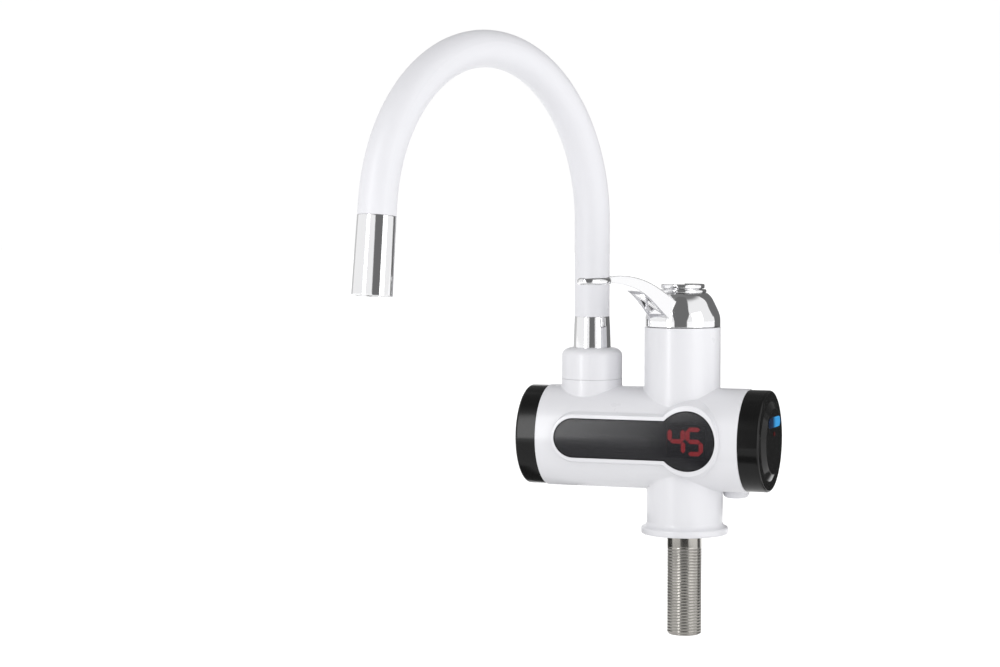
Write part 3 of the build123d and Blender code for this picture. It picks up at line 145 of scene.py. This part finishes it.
def grey_card(name, points, grey, shades=False):
    """Flat card with these corners, seen only in reflections, or also shading what faces it."""
    mesh = bpy.data.meshes.new(name)
    mesh.from_pydata(points, [], [tuple(range(len(points)))])
    paint = bpy.data.materials.new(name)
    paint.use_nodes = True
    paint.node_tree.nodes.clear()
    glow = paint.node_tree.nodes.new("ShaderNodeEmission")
    glow.inputs["Color"].default_value = (grey, grey, grey, 1)
    out = paint.node_tree.nodes.new("ShaderNodeOutputMaterial")
    paint.node_tree.links.new(glow.outputs["Emission"], out.inputs["Surface"])
    mesh.materials.append(paint)
    card = bpy.data.objects.new(name, mesh)
    bpy.context.scene.collection.objects.link(card)
    card.visible_camera = False
    card.visible_diffuse = shades
    card.visible_shadow = False
    card.visible_transmission = False


soft_box("left_shine", place=(-0.49, -1.03, 0.60), aim=(-0.09, 0, 0.60), size=(0.22, 1.3), watts=4.3,
         fills=False)
soft_box("left_fill", place=(-0.60, -1.00, 0.60), aim=(-0.09, 0, 0.10), size=(0.50, 1.0), watts=1.9,
         shines=False)
soft_box("right_soft_box", place=(1.15, -0.55, 0.45), aim=(0, 0, 0.08), size=(0.8, 1.1), watts=3.4)

BAND_GREY = 0.17
CARD_FOOT = -0.02
CARD_TOP = 2.0
FRONT_CARD = [
    (-0.050, -0.355, CARD_FOOT), (0.205, -0.366, CARD_FOOT),
    (0.205, -0.366, 0.15), (0.300, -0.370, 0.45), (0.300, -0.370, CARD_TOP),
    (-0.200, -0.348, CARD_TOP), (-0.200, -0.348, 0.70), (-0.050, -0.355, 0.15),
]
REAR_LINE = ((0.240, 0.180), (-0.083, 0.288))
REAR_SPLIT = 0.10
PIPE_CARDS_TOP = -0.002
# Each upright card: the floor points it stands between, its lower and upper edge, and its grey.
UPRIGHT_CARDS = {
    "rear_card": (REAR_LINE, REAR_SPLIT, CARD_TOP, BAND_GREY),
    "cap_card": (REAR_LINE, CARD_FOOT, REAR_SPLIT, 0.05),
    "left_card": (((-0.900, 0.100), (-0.900, 0.900)), -0.05, CARD_TOP, 0.62),
    "rear_high_card": (((-0.90, 0.90), (1.30, 0.90)), 0.45, 1.9, 0.20),
    "display_card": (((-0.037, -0.120), (0.010, -0.120)), -0.003, 0.112, 0.42),
    "pipe_front_card": (((0.098, -0.107), (-0.027, -0.143)), floor_z, -0.005, 0.08),
    "pipe_left_card": (((-0.130, -0.047), (-0.100, 0.085)), floor_z, PIPE_CARDS_TOP, 0.06),
    "pipe_right_card": (((0.113, 0.041), (0.096, 0.115)), floor_z, PIPE_CARDS_TOP, 0.12),
}
grey_card("front_card", FRONT_CARD, BAND_GREY)
for card_name, (line, low, high, grey) in UPRIGHT_CARDS.items():
    grey_card(card_name, upright_corners(*line, low, high), grey)
PATCH_LIFT = 0.0001
PATCH_GREY = 0.85
FLOOR_PATCH = ((-0.30, -0.45), (0.16, -0.45), (0.16, 0.25), (-0.30, 0.25))
patch_spots = [(x, y, floor_z + PATCH_LIFT) for x, y in FLOOR_PATCH]
grey_card("floor_patch", patch_spots, PATCH_GREY, shades=True)

# Housing and spout nut
# Injection-moulded white ABS with a polished outside, in one piece with its necks and bosses.
# The nut is the same plastic and screws down on the spout's boss.
HOUSING_WHITE = (0.737, 0.737, 0.764)
MOTTLE_SCALE = 60.0
MOTTLE_DETAIL = 3.0
GRAIN_DETAIL = 2.0
GLOSS_SWING = 0.2
EDGE_SAMPLES = 6


def finish(name, colour, rough, metal=0.0, coat=0.0, mottle=0.02, grain=0.0006, relief=0.000004,
           specular=0.5, edge=0.0):
    """Moulded or plated finish: slight mottle in colour and gloss, over a fine grain in relief."""
    material = bpy.data.materials.new(name)
    material.use_nodes = True
    tree = material.node_tree
    shader = tree.nodes["Principled BSDF"]
    shader.inputs["Metallic"].default_value = metal
    shader.inputs["Coat Weight"].default_value = coat
    shader.inputs["Specular IOR Level"].default_value = specular
    where = tree.nodes.new("ShaderNodeTexCoord")
    patches = tree.nodes.new("ShaderNodeTexNoise")
    patches.inputs["Scale"].default_value = MOTTLE_SCALE
    patches.inputs["Detail"].default_value = MOTTLE_DETAIL
    tree.links.new(where.outputs["Object"], patches.inputs["Vector"])
    tint = tree.nodes.new("ShaderNodeMix")
    tint.data_type = "RGBA"
    tint.inputs["A"].default_value = (*[c * (1 - mottle) for c in colour], 1)
    tint.inputs["B"].default_value = (*[min(1.0, c * (1 + mottle)) for c in colour], 1)
    tree.links.new(patches.outputs["Fac"], tint.inputs["Factor"])
    tree.links.new(tint.outputs["Result"], shader.inputs["Base Color"])
    gloss = tree.nodes.new("ShaderNodeMapRange")
    gloss.inputs["To Min"].default_value = rough * (1 - GLOSS_SWING)
    gloss.inputs["To Max"].default_value = rough * (1 + GLOSS_SWING)
    tree.links.new(patches.outputs["Fac"], gloss.inputs["Value"])
    tree.links.new(gloss.outputs["Result"], shader.inputs["Roughness"])
    fine = tree.nodes.new("ShaderNodeTexNoise")
    fine.inputs["Scale"].default_value = 1 / grain
    fine.inputs["Detail"].default_value = GRAIN_DETAIL
    tree.links.new(where.outputs["Object"], fine.inputs["Vector"])
    bump = tree.nodes.new("ShaderNodeBump")
    bump.inputs["Distance"].default_value = relief
    tree.links.new(fine.outputs["Fac"], bump.inputs["Height"])
    if edge:
        softened = tree.nodes.new("ShaderNodeBevel")
        softened.samples = EDGE_SAMPLES
        softened.inputs["Radius"].default_value = edge
        tree.links.new(softened.outputs["Normal"], bump.inputs["Normal"])
    tree.links.new(bump.outputs["Normal"], shader.inputs["Normal"])
    return material


def dress(material, *names):
    """Give each of these CAD pieces the finish."""
    for name in names:
        for place in nodes[name].material_slots:
            place.material = material


white_plastic = finish("white_plastic", HOUSING_WHITE, rough=0.30, coat=0.18, mottle=0.006, edge=0.0004)
dress(white_plastic, "main_housing", "spout_nut")

# End caps and their covers
# Black moulded caps push into the tube's ends and are held by three screws under a raised cover.
# Both are glossy, and the covers are slightly smoother.
GLOSS_BLACK = (0.006, 0.006, 0.006)
cap_black = finish("black_plastic", GLOSS_BLACK, rough=0.16, mottle=0.1, specular=0.26, edge=0.0005)
cover_black = finish("cover_plastic", GLOSS_BLACK, rough=0.12, mottle=0.1, specular=0.26, edge=0.0005)
dress(cap_black, "left_end_cap", "right_end_cap")
dress(cover_black, "left_cap_cover", "right_cap_cover")

# Status lamps
# Clear lenses let into the right cover: a blue bar and a red dot.
# The blue bar's glow grows towards its rear end, and this bright end is a painted highlight.
NAVY = (0.006, 0.016, 0.052)
BLUE_HIGHLIGHT_GLOW = (0.05, 0.42, 0.90)
DARK_RED = (0.05, 0.004, 0.004)
LIT_RED = (1.0, 0.05, 0.04)
RED_FADE = 0.002
# Shares of the bar's length where its painted highlight starts to rise and where it is full.
BAR_DARK_TO = 0.30
BAR_HIGHLIGHT_FULL = 0.65


def lamp(name, colour, glow, dim, bright, y_dim, y_bright):
    """Tinted lens whose glow grows along Y from dim to bright."""
    material = finish(name, colour, rough=0.15, mottle=0.04)
    tree = material.node_tree
    shader = tree.nodes["Principled BSDF"]
    where = tree.nodes.new("ShaderNodeTexCoord")
    parts = tree.nodes.new("ShaderNodeSeparateXYZ")
    fade = tree.nodes.new("ShaderNodeMapRange")
    fade.interpolation_type = "SMOOTHSTEP"
    fade.inputs["From Min"].default_value = y_dim
    fade.inputs["From Max"].default_value = y_bright
    fade.inputs["To Min"].default_value = dim
    fade.inputs["To Max"].default_value = bright
    tree.links.new(where.outputs["Object"], parts.inputs["Vector"])
    tree.links.new(parts.outputs["Y"], fade.inputs["Value"])
    tree.links.new(fade.outputs["Result"], shader.inputs["Emission Strength"])
    shader.inputs["Emission Color"].default_value = (*glow, 1)
    return material


bar_low, bar_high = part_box("blue_lamp_lens")
bar_length = bar_high.y - bar_low.y
# The blue bar's navy is its own colour; its glow, rising to full at the rear end, is a painted highlight.
blue = lamp("blue_lamp", NAVY, BLUE_HIGHLIGHT_GLOW, dim=0.012, bright=0.75,
            y_dim=bar_low.y + BAR_DARK_TO * bar_length, y_bright=bar_low.y + BAR_HIGHLIGHT_FULL * bar_length)
red = lamp("red_lamp", DARK_RED, LIT_RED, dim=0.01, bright=0.04, y_dim=-RED_FADE, y_bright=RED_FADE)
dress(blue, "blue_lamp_lens")
dress(red, "red_lamp_lens")

# Display lens, display block and lit figures
# Smoked acrylic, flush in its bezel, over a black display block with red light-emitting bars.
# The reading 45 is a plain temperature in degrees.
SMOKE = (0.010, 0.010, 0.013)
SMOKE_ALPHA = 0.76
BAR_RED = (0.5, 0.02, 0.02)
BAR_GLOW = (1.0, 0.045, 0.06)
BAR_STRENGTH = 3.1
smoked = finish("smoked_lens", SMOKE, rough=0.19, mottle=0.05, specular=0.45, edge=0.0006)
smoked.node_tree.nodes["Principled BSDF"].inputs["Alpha"].default_value = SMOKE_ALPHA
smoked.surface_render_method = "BLENDED"
dress(smoked, "display_lens")
dress(cap_black, "display_module")
figure_red = finish("lit_digits", BAR_RED, rough=0.4)
figure_shader = figure_red.node_tree.nodes["Principled BSDF"]
figure_shader.inputs["Emission Color"].default_value = (*BAR_GLOW, 1)
figure_shader.inputs["Emission Strength"].default_value = BAR_STRENGTH
dress(figure_red, "digit_segments")

# Lens edge shade
# A thin black band in the chamfer round the lens, laid on the lens's curve.
# It is painted shade for the gap round the lens, and shows as the lens's dark edge.
WINDOW_X = 0.0095
WINDOW_Z = 0.0587
WINDOW_R = 0.0180
STRIP_END_X = -0.0611
STRIP_HALF = 0.0119
LENS_CURVE_R = 0.0460
LENS_CURVE_Y = 0.0130
LENS_SHADE_CORNERS = ((-0.00043, 0.0), (0.00006, -0.00002), (0.00006, 0.00050))
WINDOW_STEPS = 72
END_STEPS = 36
LINE_STEPS = 24
# Black of the painted shade round the lens.
LENS_SHADE_BLACK = (0.005, 0.005, 0.005)


def keyhole_line(grown):
    """Points round the lens's outline grown by this much, from the window's upper left corner."""
    half, reach = STRIP_HALF + grown, WINDOW_R + grown
    corner = asin(half / reach)
    corner_x = WINDOW_X - reach * cos(corner)
    spots = []
    for i in range(WINDOW_STEPS + 1):
        turn = pi - corner - (tau - 2 * corner) * i / WINDOW_STEPS
        spots.append((WINDOW_X + reach * cos(turn), reach * sin(turn)))
    for i in range(1, LINE_STEPS):
        spots.append((corner_x + (STRIP_END_X - corner_x) * i / LINE_STEPS, -half))
    for i in range(END_STEPS + 1):
        turn = -pi / 2 - pi * i / END_STEPS
        spots.append((STRIP_END_X + half * cos(turn), half * sin(turn)))
    for i in range(1, LINE_STEPS):
        spots.append((STRIP_END_X + (corner_x - STRIP_END_X) * i / LINE_STEPS, half))
    return spots


def bent_line(grown, depth):
    """The grown outline laid on the lens's curve, this far under its face."""
    bend = LENS_CURVE_R - depth
    return [(x, LENS_CURVE_Y - sqrt(bend * bend - up * up), WINDOW_Z + up) for x, up in keyhole_line(grown)]


def outward(mesh, join=0.0):
    """Join points closer than this, and turn every face of the closed mesh outwards."""
    form = bmesh.new()
    form.from_mesh(mesh)
    if join:
        bmesh.ops.remove_doubles(form, verts=form.verts, dist=join)
    bmesh.ops.recalc_face_normals(form, faces=form.faces)
    form.to_mesh(mesh)
    form.free()


rings = [bent_line(grown, depth) for grown, depth in LENS_SHADE_CORNERS]
round_count = len(rings[0])
edge_shade_faces = []
for j in range(len(rings)):
    near, far = j * round_count, (j + 1) % len(rings) * round_count
    for i in range(round_count):
        after = (i + 1) % round_count
        edge_shade_faces.append((near + i, near + after, far + after, far + i))
edge_shade_mesh = bpy.data.meshes.new("lens_edge_shade")
edge_shade_mesh.from_pydata([spot for ring in rings for spot in ring], [], edge_shade_faces)
outward(edge_shade_mesh)
# The band's near-black finish is painted shade, standing for the shadow in the gap round the lens.
edge_shade_black = finish("painted_edge_shade", LENS_SHADE_BLACK, rough=0.5, mottle=0.1, grain=0.0004, specular=0.15)
edge_shade_mesh.materials.append(edge_shade_black)
edge_shade = bpy.data.objects.new("lens_edge_shade", edge_shade_mesh)
bpy.context.scene.collection.objects.link(edge_shade)
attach(edge_shade, "heater_body")

# Threaded inlet pipe
# Nickel-plated steel tube with a parallel half-inch pipe thread, 14 turns to the inch.
# It hangs from the manifold through the base flange, and its top 7 mm are left plain.
NICKEL = (0.41, 0.395, 0.368)
INCH = 0.0254
PITCH = INCH / 14
THREAD_DEPTH = 0.00035
CREST_ENDS = 0.3
ROOT_STARTS = 0.95
PIPE_R = 0.0104775
PIPE_UPPER_R = 0.0102
PIPE_BORE_R = 0.0074
PIPE_CHAMFER = 0.001
PLAIN_TOP = 0.0074
OUTSIDE_SHARE = 0.9995
ROWS_PER_TURN = 12
PIPE_SIDES = 96
CRISP_ANGLE = 40


def ring_piece(name, outline, sides):
    """Closed ring about the Z axis from (radius, height) corners, clockwise from the bore's top."""
    count = len(outline)
    verts = []
    for i in range(sides):
        turn = tau * i / sides
        verts += [(r * cos(turn), r * sin(turn), z) for r, z in outline]
    faces = []
    for i in range(sides):
        for j in range(count):
            a, b = i * count + j, i * count + (j + 1) % count
            c, d = (i + 1) % sides * count + (j + 1) % count, (i + 1) % sides * count + j
            faces.append((a, b, c, d))
    mesh = bpy.data.meshes.new(name)
    mesh.from_pydata(verts, [], faces)
    mesh.validate()
    piece = bpy.data.objects.new(name, mesh)
    bpy.context.scene.collection.objects.link(piece)
    return piece


def tree_with(name, sizes):
    """Empty geometry tree with a named input for each size, and its geometry sockets."""
    tree = bpy.data.node_groups.new(name, "GeometryNodeTree")
    tree.interface.new_socket("Geometry", in_out="INPUT", socket_type="NodeSocketGeometry")
    for label in sizes:
        tree.interface.new_socket(label, in_out="INPUT", socket_type="NodeSocketFloat")
    tree.interface.new_socket("Geometry", in_out="OUTPUT", socket_type="NodeSocketGeometry")
    return tree


def maths(tree, operation, first, second=None):
    """Math node on sockets or numbers, as its output socket."""
    node = tree.nodes.new("ShaderNodeMath")
    node.operation = operation
    for place, value in enumerate((first, second)):
        if value is None:
            continue
        if isinstance(value, (int, float)):
            node.inputs[place].default_value = value
        else:
            tree.links.new(value, node.inputs[place])
    return node.outputs[0]


def settled(piece, tree, sizes):
    """Run the tree on the piece with these sizes, and keep the result as its plain mesh."""
    step = piece.modifiers.new(tree.name, "NODES")
    step.node_group = tree
    for socket in tree.interface.items_tree:
        if socket.in_out == "INPUT" and socket.name in sizes:
            step[socket.identifier] = sizes[socket.name]
    graph = bpy.context.evaluated_depsgraph_get()
    mesh = bpy.data.meshes.new_from_object(piece.evaluated_get(graph))
    piece.modifiers.remove(step)
    piece.data = mesh


def sharp_over(piece, degrees):
    """Shade the piece smooth, but keep edges sharper than this angle crisp."""
    piece.data.polygons.foreach_set("use_smooth", [True] * len(piece.data.polygons))
    piece.data.set_sharp_from_angle(angle=radians(degrees))


thread_steel = finish("thread_steel", NICKEL, rough=0.20, metal=1.0, mottle=0.22, grain=0.0003)
pipe_low, pipe_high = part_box("inlet_pipe")
threaded_length = -PLAIN_TOP - pipe_low.z - PIPE_CHAMFER
rows = int(threaded_length / PITCH * ROWS_PER_TURN)
row_height = threaded_length / rows
pipe_outline = [(PIPE_BORE_R, pipe_high.z), (PIPE_UPPER_R, pipe_high.z), (PIPE_UPPER_R, 0), (PIPE_R, 0)]
pipe_outline += [(PIPE_R, -PLAIN_TOP - row_height * i) for i in range(rows + 1)]
pipe_outline += [(PIPE_R - PIPE_CHAMFER, pipe_low.z), (PIPE_BORE_R, pipe_low.z)]
pipe = ring_piece("threaded_inlet", pipe_outline, PIPE_SIDES)
pipe_sizes = {
    "Pitch": PITCH,
    "Depth": THREAD_DEPTH,
    "Outer radius": PIPE_R,
    "Thread top": -PLAIN_TOP,
    "Run out": PITCH,
}
cutter = tree_with("cut_thread", pipe_sizes)
given = cutter.nodes.new("NodeGroupInput")
spot = cutter.nodes.new("GeometryNodeInputPosition")
split = cutter.nodes.new("ShaderNodeSeparateXYZ")
cutter.links.new(spot.outputs[0], split.inputs[0])
x, y, z = split.outputs
around = maths(cutter, "DIVIDE", maths(cutter, "ARCTAN2", y, x), tau)
climbed = maths(cutter, "DIVIDE", z, given.outputs["Pitch"])
turns = maths(cutter, "FRACT", maths(cutter, "SUBTRACT", climbed, around))
centred = maths(cutter, "SUBTRACT", maths(cutter, "MULTIPLY", turns, 2.0), 1.0)
groove = maths(cutter, "ABSOLUTE", centred)
rounded = cutter.nodes.new("ShaderNodeMapRange")
rounded.interpolation_type = "SMOOTHSTEP"
rounded.inputs["From Min"].default_value = CREST_ENDS
rounded.inputs["From Max"].default_value = ROOT_STARTS
cutter.links.new(groove, rounded.inputs["Value"])
below = maths(cutter, "SUBTRACT", given.outputs["Thread top"], z)
fade_in = maths(cutter, "MINIMUM", maths(cutter, "DIVIDE", below, given.outputs["Run out"]), 1.0)
fade_in = maths(cutter, "MAXIMUM", fade_in, 0.0)
faded = maths(cutter, "MULTIPLY", rounded.outputs["Result"], fade_in)
cut = maths(cutter, "MULTIPLY", faded, given.outputs["Depth"])
squares = maths(cutter, "ADD", maths(cutter, "MULTIPLY", x, x), maths(cutter, "MULTIPLY", y, y))
radius = maths(cutter, "SQRT", squares)
inward = maths(cutter, "DIVIDE", maths(cutter, "MULTIPLY", cut, -1.0), radius)
joined = cutter.nodes.new("ShaderNodeCombineXYZ")
cutter.links.new(maths(cutter, "MULTIPLY", x, inward), joined.inputs["X"])
cutter.links.new(maths(cutter, "MULTIPLY", y, inward), joined.inputs["Y"])
nearly_outside = maths(cutter, "MULTIPLY", given.outputs["Outer radius"], OUTSIDE_SHARE)
outside = maths(cutter, "GREATER_THAN", radius, nearly_outside)
move = cutter.nodes.new("GeometryNodeSetPosition")
cutter.links.new(given.outputs["Geometry"], move.inputs["Geometry"])
cutter.links.new(outside, move.inputs["Selection"])
cutter.links.new(joined.outputs[0], move.inputs["Offset"])
real = cutter.nodes.new("GeometryNodeRealizeInstances")
plated = cutter.nodes.new("GeometryNodeSetMaterial")
plated.inputs["Material"].default_value = thread_steel
result = cutter.nodes.new("NodeGroupOutput")
cutter.links.new(move.outputs["Geometry"], real.inputs["Geometry"])
cutter.links.new(real.outputs["Geometry"], plated.inputs["Geometry"])
cutter.links.new(plated.outputs["Geometry"], result.inputs["Geometry"])
settled(pipe, cutter, pipe_sizes)
sharp_over(pipe, CRISP_ANGLE)
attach(pipe, "heater_body")
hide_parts("inlet_pipe")

# Seals, cord bushing and screws
# A black rubber ring seals the flange on the sink, and the inner seals are the same rubber.
# A white bushing lines the cord's exit, and zinc-plated pan-head screws hold the caps and the lever.
RUBBER = (0.025, 0.025, 0.025)
BUSHING_WHITE = (0.74, 0.74, 0.75)
ZINC = (0.55, 0.55, 0.56)
black_rubber = finish("black_rubber", RUBBER, rough=0.65, mottle=0.12, grain=0.0004, relief=0.00002)
white_rubber = finish("white_rubber", BUSHING_WHITE, rough=0.55, mottle=0.02, grain=0.0004, relief=0.00001)
screw_steel = finish("screw_steel", ZINC, rough=0.35, metal=1.0, mottle=0.06)
dress(black_rubber, "base_seal", "cartridge_seal", "spout_seals", "aerator_washer")
dress(white_rubber, "cord_bushing")
dress(screw_steel, "left_cap_screws", "right_cap_screws", "lever_screw")

# Lever, index button, ferrule and nozzle shell
# Zinc castings and turned brass, polished and chrome-plated.
# The lever's underside is hollow with crossed ribs, and its button plugs the hub's top.
PLATE = (0.83, 0.83, 0.84)
chrome = finish("chrome_plate", PLATE, rough=0.05, metal=1.0, mottle=0.01, grain=0.002, relief=0.000002,
                edge=0.0010)
dress(chrome, "lever", "index_button", "spout_ferrule", "nozzle_shell")

# Gooseneck sleeve
# White silicone, extruded over a bendable metal tube that holds whatever curve it is given.
# Its surface is satin, with the faint soft sheen of silicone.
SLEEVE_WHITE = (0.722, 0.722, 0.752)
SLEEVE_SHEEN = 0.03
silicone = finish("white_silicone", SLEEVE_WHITE, rough=0.42, mottle=0.008, grain=0.0009, relief=0.000012)
silicone.node_tree.nodes["Principled BSDF"].inputs["Sheen Weight"].default_value = SLEEVE_SHEEN
dress(silicone, "hose_sleeve")

# Aerator
# A white acetal cup with nineteen holes, pressed into the nozzle's mouth behind its rim.
# The same acetal makes the pressure switch's plunger.
ACETAL_WHITE = (0.72, 0.72, 0.71)
acetal = finish("aerator_plastic", ACETAL_WHITE, rough=0.4, mottle=0.03)
dress(acetal, "aerator_insert", "pressure_plunger")

# Waterway inside the housing
# Cast and turned brass for the manifold, cartridge nut and spout seat, and stainless steel for the
# tank, its heating hairpins and the hose's core.
BRASS = (0.60, 0.43, 0.18)
STAINLESS = (0.52, 0.52, 0.51)
brass = finish("valve_brass", BRASS, rough=0.32, metal=1.0, mottle=0.12, grain=0.0005, relief=0.00001)
stainless = finish("tank_steel", STAINLESS, rough=0.3, metal=1.0, mottle=0.08, grain=0.0004,
                   relief=0.000008)
dress(brass, "valve_manifold", "cartridge_nut", "spout_seat")
dress(stainless, "heating_tank", "heating_element", "hose_core")

# Cartridge and pressure switch
# Two ground ceramic discs in a grey acetal body meter the water, and the switch beside them
# turns the heater on once water flows.
ACETAL_GREY = (0.50, 0.50, 0.48)
DISC_CREAM = (0.78, 0.77, 0.72)
grey_acetal = finish("cartridge_plastic", ACETAL_GREY, rough=0.45, mottle=0.05)
ceramic = finish("ceramic", DISC_CREAM, rough=0.5, mottle=0.03, grain=0.0002)
dress(grey_acetal, "cartridge_body", "cartridge_stem", "pressure_switch_body")
dress(ceramic, "fixed_ceramic_disc", "turning_ceramic_disc")

# Return spring
# A stainless coil of four turns between the pressure plunger's head and the switch's lid.
# It shortens towards the lid as the plunger rises.
COIL_JOIN = 0.000005
coil_mesh = nodes["pressure_spring"].data.copy()
outward(coil_mesh, join=COIL_JOIN)
coil_mesh.materials.clear()
coil_mesh.materials.append(stainless)
coil = bpy.data.objects.new("return_spring", coil_mesh)
bpy.context.scene.collection.objects.link(coil)
sharp_over(coil, CRISP_ANGLE)
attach(coil, "heater_body")
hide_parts("pressure_spring")
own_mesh(coil)

# Electrics
# A green glass-fibre board carries the display, with a power triac flat on its rear face.
# The cut-out on the tank and the micro switch are black mouldings.
BOARD_GREEN = (0.02, 0.13, 0.05)
board_green = finish("circuit_board", BOARD_GREEN, rough=0.35, coat=0.2, mottle=0.25, grain=0.0005)
dress(board_green, "control_board")
dress(cap_black, "power_triac", "thermal_cutout", "micro_switch")
